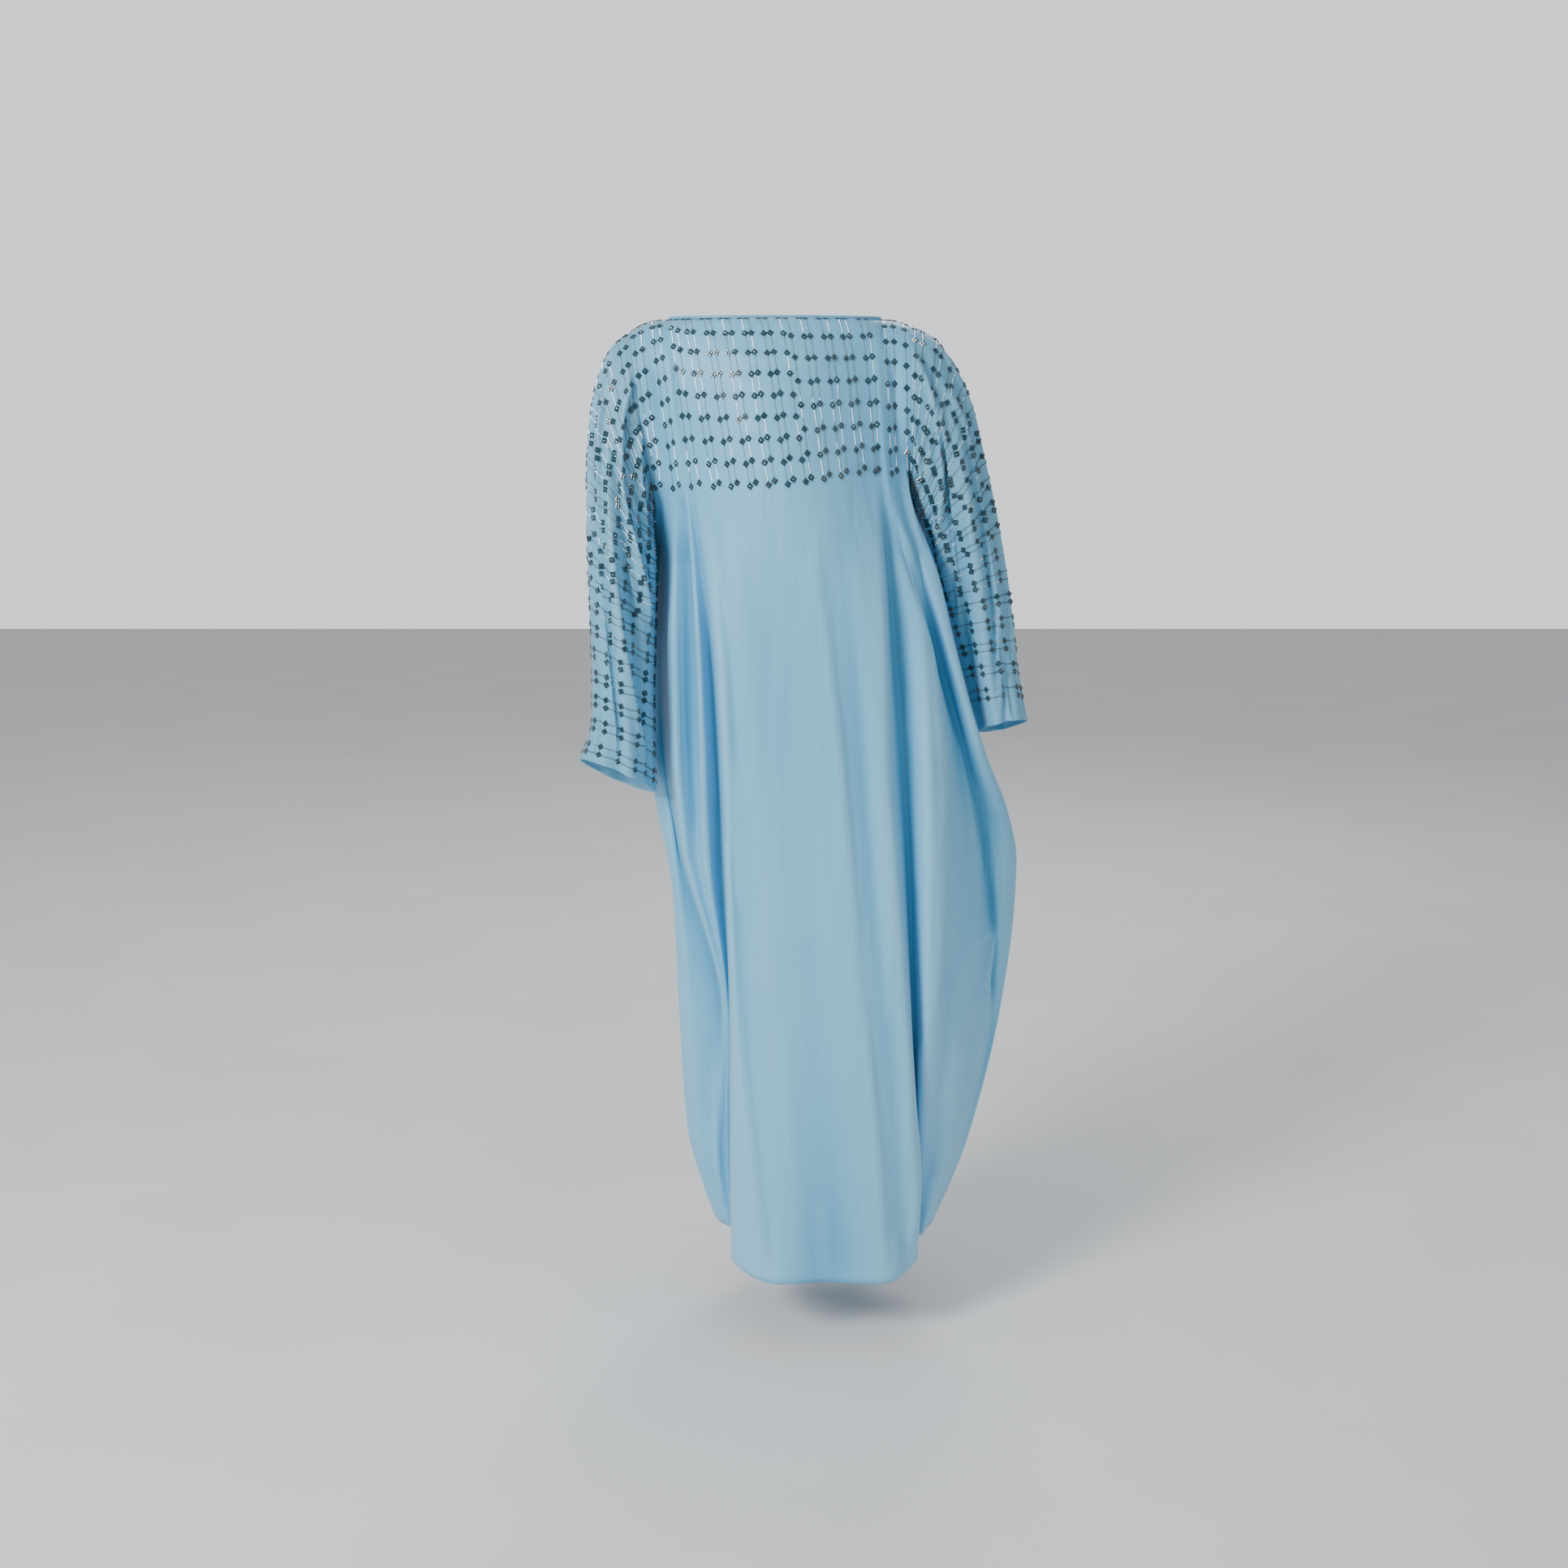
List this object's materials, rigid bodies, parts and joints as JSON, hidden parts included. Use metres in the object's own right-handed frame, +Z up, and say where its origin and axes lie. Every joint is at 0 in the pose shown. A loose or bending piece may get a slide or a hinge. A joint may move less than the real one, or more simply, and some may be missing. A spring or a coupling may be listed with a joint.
{
  "type": "abaya",
  "caption": "Floor-length batwing abaya in worn form, with a wide bead-trimmed yoke, loose beaded sleeves and deep vertical folds.",
  "frame": {"origin": "midway between the shoulders, at the height where the cloth rests on them", "axes": "+Z up, -Y the way the wearer faces, +X towards the wearer's left arm"},
  "size_m": [0.6486, 0.3256, 1.3764],
  "materials": {
    "body_cloth": "soft satin",
    "sleeve_cloth": "soft satin",
    "binding": "soft satin"
  },
  "bodies": {
    "root": {"front": "body_cloth", "back": "body_cloth", "right_sleeve": "sleeve_cloth", "left_sleeve": "sleeve_cloth", "neck_binding": "binding"}
  },
  "joints": []
}
